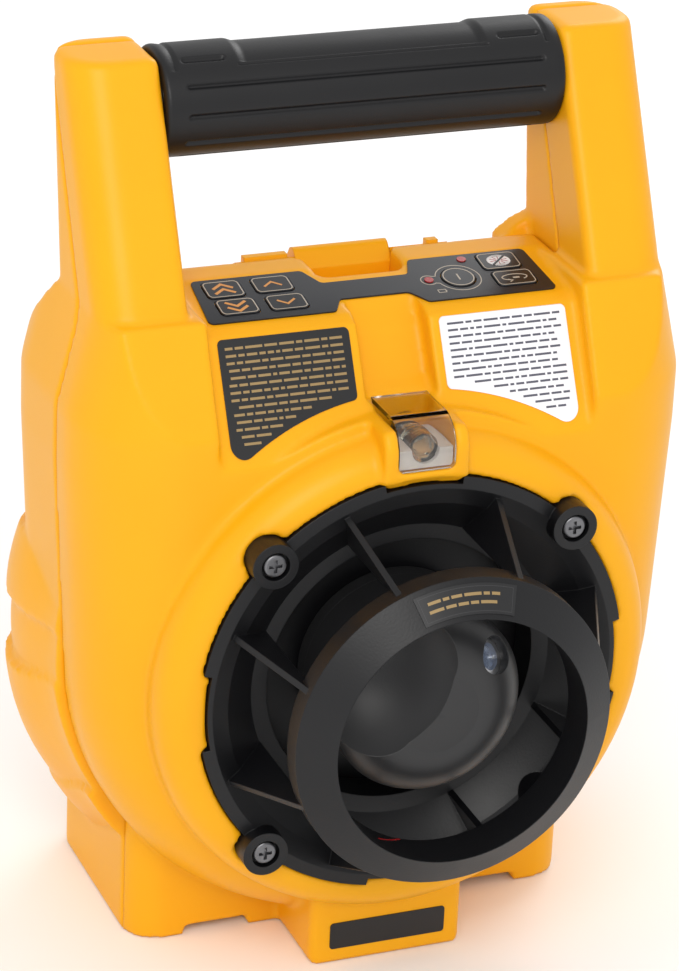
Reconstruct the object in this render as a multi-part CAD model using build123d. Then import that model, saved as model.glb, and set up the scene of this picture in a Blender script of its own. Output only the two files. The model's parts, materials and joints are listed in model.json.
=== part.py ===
"""Rotating laser level: two-shell housing with a carry handle, a rotary head behind a ribbed guard.

Millimetres. +Z up, -Y is the front (the guard side), X runs along the handle. The origin is the
middle of the bottom tripod thread's mouth, in the plane that the feet stand on.
"""
from build123d import *
from math import acos, asin, atan2, cos, degrees, hypot, pi, radians, sin, tan
import os

# ---------------------------------------------------------------- driving dimensions
WALL = 3.0                 # moulded shell thickness
GAP = 0.3                  # clearance between neighbours that move apart
SKIN = 0.05                # clearance between neighbours that stay together

HEAD_Z = 104.0             # height of the rotary head's axis, which runs along Y at x = 0
BODY_HALF = 102.0          # half width of the body above the head
UNDER_R = 98.8             # radius of its round underside, about the head's axis
WIDEST_Z = 172.0           # the sides draw in below this, down to the head's height
SHOULDER_Z = 190.0         # where the body starts to narrow towards the columns
DECK_Z = 222.0             # top of the body between the columns
FRONT_Y = -61.0            # front face of the body
BACK_Y = 48.0              # back face, flat, which the unit can lie on
FRONT_ROUND = 32.0         # rounding of the body's front outline
BACK_ROUND = 40.0          # rounding of its back outline
SEAM_Y = -22.0             # parting plane of the two shells
SEAM_BEND_Z = 215.0        # above this the parting plane leans back with the columns
LEAN = 0.43                # mm back for each mm up

COLUMN_IN = 66.0           # inner face of a column
COLUMN_OUT = 94.2          # outer face of a column
COLUMN_TOP = 293.5
GRIP_Y = 0.5
GRIP_Z = 277.0
GRIP_R = 17.5
GRIP_BORE_R = 12.05
CORE_R = 12.0
CORE_BORE_R = 8.5

LEG_IN = 28.0              # legs: inner and outer faces, front face and height
LEG_OUT = 77.5
LEG_FRONT_Y = -31.0
LEG_TOP = 50.0
BLOCK_HALF = 26.3          # middle foot block
BLOCK_FRONT_Y = -62.0

BULGE_BASE_R = 83.0        # yellow ring around the guard
BULGE_RIM_R = 72.6
BULGE_RIM_Y = -73.0
WELL_R = 52.0              # hole through the front shell behind the guard

GUARD_R = 71.0
GUARD_SEAT_Y = -69.0
GUARD_RIM_Y = -73.5
RING_R = 52.1
RING_OPEN_R = 41.2
RING_BACK_Y = -99.0
RING_EDGE_Y = -106.3
RING_FRONT_Y = -113.4
RIB_COUNT = 8
RIB_T = 2.0
# lands of the side pads, about the head's axis: start and end angle, start and end radius,
# first at the parting plane and then further back; a lower land runs on under its neighbours
LANDS = [
    ((17.0, 3.8, 99.6, 101.2), (14.0, 0.8, 102.2, 103.8)),
    ((5.4, -8.0, 100.0, 100.8), (2.4, -12.9, 101.2, 103.2)),
    ((-6.4, -32.0, 101.8, 101.4), (-11.3, -37.5, 106.2, 109.4)),
    ((-30.5, -42.0, 103.9, 104.6), (-36.0, -46.0, 110.4, 112.0)),
]
# sections of a land: y, share of the way to the second row above, drop of the outside and inside radius
LAND_SECTIONS = [(-21.2, 0, 0, 90), (0, 0.55, -0.6, 90), (22, 1, 0, 87), (35, 1, 4.5, 78), (43, 1, 11, 68)]
# guard screws: radius and angle about the head's axis
GUARD_SCREWS = [(70.2, 45), (70.2, 135), (70.2, 225), (66.4, 315)]
SCREW_Y = -75.6            # seat of the screw heads in the lobes
LOBE_Y = -78.4             # front of the lobes
LOBE_R = 7.4

PANEL_HALF = 62.0          # pocket that holds the keypad and the labels
LABEL_TOP_Y = -42.3        # label face passes through here at LABEL_TOP_Z
LABEL_TOP_Z = 214.5
LABEL_RUN = 0.52           # mm forward for each mm down
KEY_BACK_Y = -12.4
KEY_BACK_Z = 221.4
KEY_FRONT_Y = -36.6
KEY_TILT = 10.6            # keypad slope, degrees
SHEET_T = 0.5

ROTOR_R = 31.0             # rotary head
ROTOR_BACK_Y = -52.0
ROTOR_JOINT_Y = -57.0      # between its cup and its base
ROTOR_FRONT_Y = -95.2
SCOOP = (-28.4, -108.0, 123.4)   # centre of the round scoop in the rotary head
SCOOP_R = 36.0
PORT_AIM = (19.4, -24.2, 16.4)   # direction of the window port from the prism
SPINDLE_R = 8.0
SPINDLE_BORE_R = 5.0
SPINDLE_END_Y = -13.6
BEARING_R = 14.0
BEARING_W = 5.0
CARRIER_Y = -48.0          # front face of the bearing carrier plate
CARRIER_T = 3.0
CARRIER_R = 62.0
CARRIER_POST_R = 57.5      # the carrier's screws lie on this circle
HUB_END_Y = -24.0
PULLEY_R = 20.0
PINION_R = 6.0
MOTOR_Z = HEAD_Z - 42.0
BELT_Y = -18.1
BELT_W = 5.0
BELT_T = 1.5

DOOR_HALF = 36.0           # battery door
DOOR_TOP_Y = 2.0
DECK_END_Y = 1.0           # back edge of the deck, which the door's top edge meets
DOOR_FRONT_Y = DECK_END_Y + GAP
HINGE_Y = 45.0             # its hinge, along X at the bottom edge
HINGE_Z = 106.0
BARREL_R = 3.0
PIN_R = 1.3
BARREL_HALF = 24.0
LATCH_HALF = 16.0
LATCH_BACK_Y = 10.0
LATCH_TRAVEL = 2.0
LATCH_BOTTOM_Z = 208.0
CELL_R = 17.1              # two D cells
CELL_L = 61.0
CELL_X = 17.6
CELL_Y = 26.3
CELL_BOTTOM_Z = 112.4

THREAD_R = 6.75            # 5/8"-11 tripod thread, minor radius
THREAD_L = 13.0
INSERT_R = 15.0
BACK_THREAD_Z = 82.0

VIAL_Y = -63.0             # bubble vial, along Y
VIAL_Z = 184.0
VIAL_R = 4.5
VIAL_HALF = 8.0
WINDOW_HALF = 9.3
WINDOW_T = 1.5
NOSE_HALF = 14.0

KEY_TRAVEL = 0.45
KEY_TOP = 0.85             # heights above the keypad plane
KEY_BOTTOM = -2.8
PCB_TOP = -4.1
DOME_TOP = -3.35
# push keys: name, centre across, centre along the slope, size across, size along the slope
KEYS = [
    ("key_double_up", -47.3, 5.9, 12.2, 9.4),
    ("key_up", -31.2, 6.1, 12.4, 8.9),
    ("key_double_down", -46.2, -4.4, 12.6, 8.7),
    ("key_down", -30.1, -4.6, 12.4, 8.6),
    ("key_standby", 45.3, 6.2, 13.2, 9.6),
    ("key_speed", 46.5, -4.2, 13.3, 8.6),
]
POWER_KEY = (28.7, -0.8, 5.5)
STANDBY_LED = (33.8, 9.3)
POWER_LED = (18.8, -0.6)


# ---------------------------------------------------------------- small helpers
def box(x0, x1, y0, y1, z0, z1):
    """Axis-aligned block between two corners."""
    return Pos((x0 + x1) / 2, (y0 + y1) / 2, (z0 + z1) / 2) * Box(x1 - x0, y1 - y0, z1 - z0)


def rod_x(radius, x0, x1, y, z):
    return Pos((x0 + x1) / 2, y, z) * Rot(0, 90, 0) * Cylinder(radius, x1 - x0)


def rod_y(radius, y0, y1, x=0.0, z=HEAD_Z):
    return Pos(x, (y0 + y1) / 2, z) * Rot(90, 0, 0) * Cylinder(radius, y1 - y0)


def rod_z(radius, z0, z1, x, y):
    return Pos(x, y, (z0 + z1) / 2) * Cylinder(radius, z1 - z0)


def turned(points, x=0.0, z=HEAD_Z):
    """Solid of revolution about an axis along Y. Points are (radius, y)."""
    face = make_face(Polyline(*[(r, y) for r, y in points], close=True))
    return Pos(x, 0, z) * revolve(face, Axis.Y, 360)


def side_prism(points, x0, x1):
    """Prism along X from a (y, z) outline."""
    face = make_face(Polyline(*points, close=True))
    return Pos(x0, 0, 0) * extrude(Plane.YZ * face, x1 - x0)


def front_prism(points, y0, y1):
    """Prism along Y from an (x, z) outline."""
    face = make_face(Polyline(*points, close=True))
    return extrude(Plane.XZ.offset(-y1) * face, y1 - y0)


def polar(radius, angle, y=0.0):
    """Point at an angle round the head's axis, 0 to the right and 90 up."""
    a = radians(angle)
    return (radius * cos(a), y, HEAD_Z + radius * sin(a))


def mirror_x(shape):
    return mirror(shape, Plane.YZ)


def safe_fillet(solid, edges, radii):
    """Fillet with the first radius of the list that the kernel accepts."""
    for radius in radii:
        try:
            done = fillet(edges, radius)
        except (ValueError, RuntimeError):
            continue
        if done.is_valid and done.volume > 0:
            return done
    print("fillet left out, radii", radii)
    return solid


# ---------------------------------------------------------------- outer form of the housing
def body_block(inset):
    """Round-bottomed body without columns, with rounded front and back outlines."""
    w = BODY_HALF - inset
    r = UNDER_R - inset
    top_w = COLUMN_OUT - inset
    top = DECK_Z - inset
    # the sides leave the round underside as tangents
    rise = WIDEST_Z - HEAD_Z
    angle = atan2(rise, w) - acos(r / hypot(w, rise))
    side = (r * cos(angle), HEAD_Z + r * sin(angle))
    lower = ThreePointArc((-side[0], side[1]), (0, HEAD_Z - r), side)
    upper = Polyline(
        side, (w, WIDEST_Z), (w, SHOULDER_Z), (top_w, top),
        (-top_w, top), (-w, SHOULDER_Z), (-w, WIDEST_Z), (-side[0], side[1]))
    outline = make_face(lower + upper)
    outline = fillet([v for v in outline.vertices() if abs(v.Y - SHOULDER_Z) < 0.1], 18)
    outline = fillet([v for v in outline.vertices() if abs(v.Y - WIDEST_Z) < 0.1], 60)
    depth = BACK_Y - FRONT_Y - 2 * inset
    block = extrude(Plane.XZ.offset(-(BACK_Y - inset)) * outline, depth)
    front = block.faces().sort_by(Axis.Y)[0]
    rim = [e for e in front.edges() if e.center().Z < top - 1]
    block = safe_fillet(block, rim, [FRONT_ROUND - inset, FRONT_ROUND - inset - 1, 24, 16])
    back = block.faces().sort_by(Axis.Y)[-1]
    rim = [e for e in back.edges() if e.center().Z < top - 1]
    return safe_fillet(block, rim, [BACK_ROUND - inset, 10, 6])


def side_limit(inset):
    """Side outline of the body: sloped brow at the front and sloped back above the battery door."""
    top = DECK_Z - inset
    points = [
        (FRONT_Y - 1, -1), (FRONT_Y - 1, 187), (-46 + inset, top), (DOOR_TOP_Y - inset / 2, top),
        (BACK_Y - inset, 176), (BACK_Y - inset, -1),
    ]
    face = make_face(Polyline(*points, close=True))
    face = fillet([v for v in face.vertices() if abs(v.X - (BACK_Y - inset)) < 0.1 and v.Y > 100], 8)
    face = fillet([v for v in face.vertices() if abs(v.X - (DOOR_TOP_Y - inset / 2)) < 0.1 and v.Y > 100], 12)
    return Pos(-120, 0, 0) * extrude(Plane.YZ * face, 240)


def column_section(z, front, back, inset):
    """Plan section of the right-hand column at one height: flat front, back rounded on the outside."""
    face = make_face(Polyline(
        (COLUMN_IN + inset, front + inset), (COLUMN_OUT - inset, front + inset),
        (COLUMN_OUT - inset, back - inset), (COLUMN_IN + inset, back - inset), close=True))
    middle = (front + back) / 2
    rounds = [
        (3.5, lambda v: v.Y < middle and v.X < COLUMN_OUT - 12),
        (12 - inset, lambda v: v.Y < middle and v.X > COLUMN_OUT - 6),
        (12.5 - inset, lambda v: v.Y > middle + 5 and v.X > COLUMN_OUT - 6),
        (max(3.0 - inset, 1.0), lambda v: v.Y > middle + 5 and v.X < COLUMN_IN + 6),
    ]
    for radius, here in rounds:
        face = fillet([v for v in face.vertices() if here(v)], radius)
    return Pos(0, 0, z) * face


def column(inset):
    """Right-hand handle column: leans back and is rounded at the top."""
    low_z = 204
    low_y = -60 + (low_z - 186) * 53.5 / 114
    sections = [column_section(low_z, low_y, 7.3, inset), column_section(300, -6.5, 19.5, inset)]
    post = loft(sections, ruled=True)
    post = split(post, Plane.XY.offset(COLUMN_TOP - inset), keep=Keep.BOTTOM)
    crown = post.faces().sort_by(Axis.Z)[-1]
    return safe_fillet(post, crown.edges(), [12 - inset, 10 - inset, 8 - inset, 5, 3])


def legs(inset):
    """Two legs and the middle foot block, with a shallow step under each leg."""
    w = LEG_OUT - inset
    front = LEG_FRONT_Y + inset
    back = BACK_Y - inset
    height = LEG_TOP - 2 * inset
    plan = make_face(Polyline(
        (LEG_IN - 8, front), (w, front), (w, back), (LEG_IN - 8, back), close=True))
    plan = fillet([v for v in plan.vertices() if v.X > LEG_OUT - 5], 12 - inset)
    leg = Pos(0, 0, inset) * extrude(plan, height)
    rim = [e for e in leg.faces().sort_by(Axis.Z)[-1].edges() if e.center().X > LEG_IN]
    leg = safe_fillet(leg, rim, [10 - inset, 4])
    leg -= box(37, 58.5, LEG_FRONT_Y - 5, BACK_Y + 5, -1, 3.2 + inset)
    b = BLOCK_HALF - inset
    block_plan = make_face(Polyline(
        (-b, BLOCK_FRONT_Y + inset), (b, BLOCK_FRONT_Y + inset), (b, back), (-b, back), close=True))
    block = Pos(0, 0, inset) * extrude(block_plan, height)
    block = safe_fillet(block, block.edges().filter_by(Axis.Z), [3.0 - inset / 2])
    return leg + mirror_x(leg) + block


def bulge(inset):
    """Ring-shaped swelling that the guard sits on."""
    base = BULGE_BASE_R - inset
    foot = (base, FRONT_Y + 1)
    rim = (BULGE_RIM_R - inset * 0.3, BULGE_RIM_Y + inset)
    outline = (
        Line((0, -40), (base, -40))
        + Line((base, -40), foot)
        + ThreePointArc(foot, (base - 3.0, -69.2 + inset * 0.7), rim)
        + Line(rim, (0, rim[1]))
        + Line((0, rim[1]), (0, -40))
    )
    return Pos(0, 0, HEAD_Z) * revolve(make_face(outline), Axis.Y, 360)


def land_section(row, y, inner):
    """Outline of one land of the side pads in the plane at y, as seen along the head's axis."""
    start, end, low, high = row
    outer = []
    for k in range(5):
        x, _, z = polar(low + (high - low) * sin(pi / 2 * k / 4), start + (end - start) * k / 4)
        outer.append((x, z))
    inside = []
    for angle in (end, start):
        x, _, z = polar(inner, angle)
        inside.append((x, z))
    outline = Spline(*outer) + Polyline(outer[-1], *inside, outer[0])
    return Plane.XZ.offset(-y) * make_face(outline)


def side_pads():
    """Raised scalloped band along each lower side of the rear shell: four lands with steps between."""
    pads = None
    for front, back in LANDS:
        sections = []
        for y, share, drop, inner in LAND_SECTIONS:
            row = [f + (b - f) * share for f, b in zip(front, back)]
            row[2] -= drop
            row[3] -= drop
            sections.append(land_section(row, y, inner))
        land = loft(sections)
        pads = land if pads is None else pads + land
    return pads + mirror_x(pads)


def column_foot():
    """Gusset behind the deck where a column meets the sloped back."""
    return front_prism([(56, 205), (56, DECK_Z - 2.5), (62, 224), (70, 227), (70, 205)], 3.6, 11.6)


def outer_form():
    body = body_block(0) & side_limit(0)
    col = column(0)
    foot = column_foot()
    return body + col + mirror_x(col) + foot + mirror_x(foot) + legs(0) + bulge(0) + side_pads()


def inner_form():
    body = body_block(WALL) & side_limit(WALL)
    col = column(WALL)
    return body + col + mirror_x(col) + legs(WALL) + bulge(WALL)


# ---------------------------------------------------------------- planes of the keypad and the labels
KEY_MID_Y = (KEY_BACK_Y + KEY_FRONT_Y) / 2
KEY_SLOPE = tan(radians(KEY_TILT))
KEY_HALF = (KEY_BACK_Y - KEY_FRONT_Y) / 2 / cos(radians(KEY_TILT))


def key_z(y):
    """Height of the keypad plane."""
    return KEY_BACK_Z - KEY_SLOPE * (KEY_BACK_Y - y)


def label_y(z):
    """Depth of the label plane."""
    return LABEL_TOP_Y - LABEL_RUN * (LABEL_TOP_Z - z)


def on_keypad(shape):
    """Place a shape made flat: X across, Y up the slope, Z off the keypad plane."""
    return Pos(0, KEY_MID_Y, key_z(KEY_MID_Y)) * Rot(KEY_TILT, 0, 0) * shape


def plate(points, z0, z1, radius=0.0):
    """Flat plate from an (x, y) outline, with rounded corners."""
    face = make_face(Polyline(*points, close=True))
    if radius:
        face = fillet(face.vertices(), radius)
    return Pos(0, 0, z0) * extrude(face, z1 - z0, dir=(0, 0, 1))


def key_block(x, y, w, h, z0, z1, grow=0.0):
    """Rounded block for a key or its hole."""
    return Pos(x, y, (z0 + z1) / 2) * extrude(
        RectangleRounded(w + 2 * grow, h + 2 * grow, 1.8 + grow), (z1 - z0) / 2, both=True)


# ---------------------------------------------------------------- cuts in the housing
def panel_cut(wall):
    """Pocket for the keypad and the labels, ending on an arc above the guard."""
    back = KEY_BACK_Y + 0.6 + wall
    side = side_prism([
        (back, 240), (back, key_z(back) - wall), (-38 + wall / 2, key_z(-38) - wall),
        (LABEL_TOP_Y + wall, LABEL_TOP_Z - wall), (label_y(172) + wall, 172), (-90, 172), (-90, 240),
    ], -PANEL_HALF - wall, PANEL_HALF + wall)
    return side - rod_y(87.5 - wall, -95, 20)


def channel_cut(wall):
    """Scoop that leads down from the keypad to the vial's window."""
    half = 11.8 + wall
    return side_prism([
        (-30.6 + wall, 240), (-30.6 + wall, 216.2 - wall / 2), (-36 + wall, 210), (-44 + wall, 196.5 - wall),
        (-50, 192.6 - wall), (-64, 191.2 - wall), (-90, 191.2 - wall), (-90, 240),
    ], -half, half)


def vial_cut(wall):
    """Compartment of the vial behind its window."""
    half = WINDOW_HALF + SKIN + wall
    return side_prism([
        (-49.5 + wall, 194), (-49.5 + wall, 177.5 - wall), (-80, 177.5 - wall), (-80, 194),
    ], -half, half)


def finger_cut(wall):
    """Finger pocket in the deck in front of the door's latch."""
    half = 15.0 + wall
    pocket = box(-half, half, -16 - wall, DECK_END_Y + 0.1, 211 - wall, 240)
    if wall:
        return pocket
    return safe_fillet(pocket, pocket.edges().filter_by(Axis.Z), [5.0])


def nose():
    """Raised nose around the vial's window, running down to the guard."""
    profile = make_face(
        Polyline((-50, 172), (-50, 193.4), (-64.5, 193.4))
        + ThreePointArc((-64.5, 193.4), (-72.4, 190.2), (-75.3, 182.6))
        + Polyline((-75.3, 182.6), (-75.3, 174), (-70, 172), (-50, 172)))
    block = Pos(-NOSE_HALF, 0, 0) * extrude(Plane.YZ * profile, 2 * NOSE_HALF, dir=(1, 0, 0))
    return block - rod_y(GUARD_R + GAP, -90, GUARD_SEAT_Y)


# ---------------------------------------------------------------- housing shells
def screw_places():
    """(x, z, seat of the head, reach of the boss to the front, seam depth) of the housing screws."""
    places = []
    for x, z in [(58, 38), (86, 128), (82, 204)]:
        for side in (-1, 1):
            places.append((side * x, z, 25.0, -59.5, SEAM_Y))
    for side in (-1, 1):
        places.append((side * 80.0, 250.0, 6.0, -40.0, seam_y(250.0)))
    return places


def seam_y(z):
    """Depth of the parting plane at a height."""
    return SEAM_Y + max(0.0, z - SEAM_BEND_Z) * LEAN


def front_region(shift):
    """Everything in front of the parting plane, with the tongue of deck between the columns."""
    top = 330.0
    side = side_prism([
        (-150, -20), (SEAM_Y + shift, -20), (SEAM_Y + shift, SEAM_BEND_Z),
        (seam_y(top) + shift, top), (-150, top),
    ], -130, 130)
    half = COLUMN_IN - 0.5 + shift
    return side + box(-half, half, -60, DECK_END_Y + shift, 200 - shift, 240)


def housing_shell(outer):
    """Both shells as one hollow body, with bosses, before it is parted."""
    cavity = inner_form()
    for cut in (panel_cut, channel_cut, vial_cut, finger_cut):
        cavity -= cut(WALL)
    body = outer + nose()
    for cut in (panel_cut, channel_cut, vial_cut, finger_cut):
        body -= cut(0)
    body -= cavity

    bosses = rod_z(INSERT_R + 3, 0.5, THREAD_L + 4, 0, 0)
    bosses += rod_y(INSERT_R + 3, BACK_Y - THREAD_L - 3, BACK_Y - 0.5, 0, BACK_THREAD_Z)
    for x, z, _, reach, _ in screw_places():
        bosses += rod_y(6.5, reach, BACK_Y - 1, x, z)
    for side in (-1, 1):
        bosses += rod_x(15.0, side * 73.5 - 7.0, side * 73.5 + 7.0, GRIP_Y, GRIP_Z)
        for z in (38.0, 84.0):
            bosses += rod_y(3.5, 11.6, BACK_Y - 1, side * 38.0, z)
    body += bosses & outer

    body += seat_ring()
    body -= turned([(0, -95), (GUARD_R + GAP, -95), (GUARD_R + GAP, GUARD_SEAT_Y), (0, GUARD_SEAT_Y)])
    body -= rod_y(WELL_R, -95, -57)
    for radius, angle in GUARD_SCREWS:
        x, _, z = polar(radius, angle)
        body += rod_y(5.2, GUARD_SEAT_Y + 0.6, -54, x, z)
        body -= rod_y(LOBE_R + GAP, -90, GUARD_SEAT_Y, x, z)
        body -= rod_y(2.0 + SKIN, -90, -56, x, z)
    for k in range(4):
        x, _, z = polar(CARRIER_POST_R, 45 + 90 * k)
        body += rod_y(4.0, -62.5, CARRIER_Y, x, z)
        body -= rod_y(1.6 + SKIN, -60, CARRIER_Y + 1, x, z)
        body += guard_tab(90 * k)
    return body


def seat_ring():
    """Cone behind the guard's bowl, joined to the bulge."""
    return turned([
        (74, GUARD_SEAT_Y), (66, GUARD_SEAT_Y), (61, -68.2), (52, -61.4), (52, -58.4), (61, -65.2), (74, -66),
    ])


def guard_tab(angle):
    """Tab of the bulge that keys into a notch in the guard's rim."""
    tab = turned([(68.9, GUARD_SEAT_Y + 0.5), (72.4, GUARD_SEAT_Y + 0.5), (72.4, -73), (68.9, -73)])
    return tab & wedge(angle, 10.2, 80, -90, -60)


def wedge(angle, half_angle, reach, y0, y1):
    """Triangular sector about the head's axis."""
    far = reach / cos(radians(half_angle))
    corners = [(0, HEAD_Z)]
    for a in (angle - half_angle, angle + half_angle):
        x, _, z = polar(far, a)
        corners.append((x, z))
    face = make_face(Polyline(*corners, close=True))
    return extrude(Plane.XZ.offset(-y1) * face, y1 - y0, dir=(0, -1, 0))


def keypad_holes():
    """Holes through the deck under the keys and the lamps."""
    holes = plate(overlay_outline(0.1), -0.1, 6, 2.0)
    for _, x, y, w, h in KEYS:
        holes += key_block(x, y, w, h, -6, 1, GAP)
    holes += Pos(POWER_KEY[0], POWER_KEY[1], -2.5) * Cylinder(POWER_KEY[2] + GAP, 7)
    for x, y in (STANDBY_LED, POWER_LED):
        holes += Pos(x, y, -2.5) * Cylinder(1.5 + SKIN, 7)
    return on_keypad(holes)


def door_region(grow):
    """Space of the battery door: the back and the slope between the columns."""
    half = DOOR_HALF + grow
    return side_prism([
        (DOOR_FRONT_Y - grow, 240), (DOOR_FRONT_Y - grow, 190), (36, 165),
        (40, HINGE_Z - grow), (60, HINGE_Z - grow), (60, 240),
    ], -half, half)


def latch_region(grow):
    half = LATCH_HALF + grow
    return box(-half, half, -1.5 - grow, LATCH_BACK_Y + grow, LATCH_BOTTOM_Z - grow, 240)


def front_housing(shell):
    front = shell & front_region(0)
    front -= latch_region(GAP)
    front -= keypad_holes()
    for x, z, _, _, depth in screw_places():
        front -= rod_y(2.2 + SKIN, depth - 14, depth + 1, x, z)
    for side in (-1, 1):
        front -= rod_x(CORE_R + SKIN, side * 75 - 10, side * 75 + 10, GRIP_Y, GRIP_Z)
    return front


def rear_housing(shell):
    rear = shell - front_region(0.4)
    rear -= door_region(GAP)
    rear -= rod_x(BARREL_R + GAP, -BARREL_HALF - GAP, BARREL_HALF + GAP, HINGE_Y, HINGE_Z)
    # the open door's face comes to rest here
    rest_z = HINGE_Z - BARREL_R - GAP
    rear -= box(-DOOR_HALF - GAP, DOOR_HALF + GAP, HINGE_Y, 60, rest_z, HINGE_Z)
    for side in (-1, 1):
        middle = side * (BARREL_HALF + GAP + DOOR_HALF + 1) / 2
        half = (DOOR_HALF + 1 - BARREL_HALF - GAP) / 2
        rear += rod_x(BARREL_R, middle - half, middle + half, HINGE_Y, HINGE_Z)
        rear += side_prism([
            (HINGE_Y - 3, HINGE_Z - 7), (HINGE_Y + 1, HINGE_Z - 7), (HINGE_Y + 1, rest_z),
            (HINGE_Y, rest_z), (HINGE_Y, HINGE_Z), (HINGE_Y - 3, HINGE_Z),
        ], middle - half, middle + half)
        rear -= rod_x(CORE_R + SKIN, side * 75 - 10, side * 75 + 10, GRIP_Y, GRIP_Z)
        for z in (38.0, 84.0):
            rear -= rod_y(1.25 + SKIN, 5, 20, side * 38.0, z)
    rear -= rod_x(PIN_R + SKIN, -DOOR_HALF - 2, DOOR_HALF + 2, HINGE_Y, HINGE_Z)
    for x, z, seat, _, depth in screw_places():
        rear -= rod_y(2.2 + 0.2, depth - 1, seat + 1, x, z)
        rear -= rod_y(4.6, seat, 60, x, z)
    rear -= rod_z(INSERT_R + SKIN, -1, THREAD_L + 2, 0, 0)
    rear -= rod_y(INSERT_R + SKIN, BACK_Y - THREAD_L - 2, 60, 0, BACK_THREAD_Z)
    return rear


def battery_door(shell):
    door = (shell - box(-120, 120, -200, DOOR_FRONT_Y, -10, 400)) & door_region(0)
    door -= latch_region(GAP)
    slide_y = LATCH_BACK_Y + LATCH_TRAVEL + GAP
    door -= box(-LATCH_HALF - GAP, LATCH_HALF + GAP, 0, slide_y, LATCH_BOTTOM_Z - GAP, 240)
    for side in (-1, 1):
        middle = side * (BARREL_HALF + DOOR_HALF + 2) / 2
        half = (DOOR_HALF + 2 - BARREL_HALF) / 2
        door -= rod_x(BARREL_R + GAP, middle - half, middle + half, HINGE_Y, HINGE_Z)
    door += rod_x(BARREL_R, -BARREL_HALF, BARREL_HALF, HINGE_Y, HINGE_Z)
    door += box(-LATCH_HALF, LATCH_HALF, 1.5, LATCH_BACK_Y + 8, LATCH_BOTTOM_Z - 3.5, LATCH_BOTTOM_Z - GAP)
    door += box(-33, -18.5, 1.8, 4.6, DECK_Z - 4.2, DECK_Z + 0.2)
    door += box(29, 33, 1.8, 4.6, DECK_Z - 4.2, DECK_Z)
    door -= rod_x(PIN_R + 0.06, -BARREL_HALF - 1, BARREL_HALF + 1, HINGE_Y, HINGE_Z)
    return door


def door_latch():
    """Sliding latch whose raised lip closes the back of the finger pocket."""
    profile = make_face(
        Polyline((-1.5, LATCH_BOTTOM_Z), (-1.5, 217.8), (2.4, 221.9))
        + ThreePointArc((2.4, 221.9), (4.6, 223.0), (7.0, 221.8))
        + Polyline((7.0, 221.8), (LATCH_BACK_Y, 217.0), (LATCH_BACK_Y, LATCH_BOTTOM_Z), (-1.5, LATCH_BOTTOM_Z)))
    block = Pos(-LATCH_HALF, 0, 0) * extrude(Plane.YZ * profile, 2 * LATCH_HALF, dir=(1, 0, 0))
    return block - box(-LATCH_HALF + 2, LATCH_HALF - 2, 1, LATCH_BACK_Y + 1, LATCH_BOTTOM_Z - 1, 214)


def latch_spring():
    """Folded leaf spring behind the latch."""
    strip = [(0, 0), (2.6, 3), (0.6, 4.6), (2.6, 5.8)]
    back = [(y + 0.5, z) for y, z in reversed(strip)]
    y0 = LATCH_TRAVEL + 1.6
    outline = [(y0 + y, LATCH_BOTTOM_Z - GAP + z) for y, z in strip + back]
    return side_prism(outline, -4, 4)


# ---------------------------------------------------------------- handle
def handle_core():
    return rod_x(CORE_R, -84.5, 84.5, GRIP_Y, GRIP_Z) - rod_x(CORE_BORE_R, -90, 90, GRIP_Y, GRIP_Z)


def handle_grip():
    half = COLUMN_IN - SKIN
    grip = rod_x(GRIP_R, -half, half, GRIP_Y, GRIP_Z)
    grip = safe_fillet(grip, grip.edges(), [1.5])
    return grip - rod_x(GRIP_BORE_R, -half - 1, half + 1, GRIP_Y, GRIP_Z)


# ---------------------------------------------------------------- head guard
def head_guard():
    guard = turned([
        (71, GUARD_RIM_Y), (67, -74), (61, -71.2), (50.5, -62.8), (45, -62), (45, -50), (47.2, -50),
        (47.2, -59.6), (49.8, -60.2), (61, -68.6), (66, GUARD_SEAT_Y), (71, GUARD_SEAT_Y),
    ])
    for k in range(4):
        tool = turned([(68.6, -60), (75, -60), (75, -80), (68.6, -80)])
        guard -= tool & wedge(90 * k, 10.6, 80, -90, -50)
    guard += turned([
        (RING_R, RING_BACK_Y), (RING_R, RING_EDGE_Y), (RING_OPEN_R, RING_FRONT_Y),
        (RING_OPEN_R, RING_BACK_Y), (RING_OPEN_R + 2.2, RING_BACK_Y),
        (RING_OPEN_R + 2.2, RING_FRONT_Y + 4.1), (RING_R - 2, RING_EDGE_Y + 1.3), (RING_R - 2, RING_BACK_Y),
    ])
    rib = make_face(Polyline(
        (66.5, -71.5), (RING_R, -104), (RING_R - 1.9, -104), (RING_R - 1.9, -61.8), close=True))
    rib = extrude(rib, RIB_T / 2, both=True)
    for k in range(RIB_COUNT):
        guard += Pos(0, 0, HEAD_Z) * Rot(0, 22.5 + 360 / RIB_COUNT * k, 0) * rib
    for radius, angle in GUARD_SCREWS:
        x, _, z = polar(radius, angle)
        guard += rod_y(LOBE_R, LOBE_Y, GUARD_SEAT_Y, x, z)
        guard -= rod_y(4.6, LOBE_Y - 1, SCREW_Y, x, z)
        guard -= rod_y(2.0 + SKIN, LOBE_Y - 1, -50, x, z)
    return guard


def screw(head_r, head_h, shank_r, length):
    """Pan-head screw with a cross recess: head on +Z, shank down from z = 0."""
    head = Pos(0, 0, head_h / 2) * Cylinder(head_r, head_h)
    head = safe_fillet(head, head.faces().sort_by(Axis.Z)[-1].edges(), [head_h * 0.45])
    cross = Box(head_r * 1.1, head_r * 0.28, head_h) + Box(head_r * 0.28, head_r * 1.1, head_h)
    slot = Pos(0, 0, head_h) * cross
    return head - slot + Pos(0, 0, -length / 2) * Cylinder(shank_r, length)


def group(shapes):
    return Compound(children=list(shapes))


def guard_screws():
    one = screw(3.9, 2.4, 2.0, 17)
    return group(Pos(*polar(r, angle, SCREW_Y)) * Rot(90, 0, 0) * one for r, angle in GUARD_SCREWS)


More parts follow.
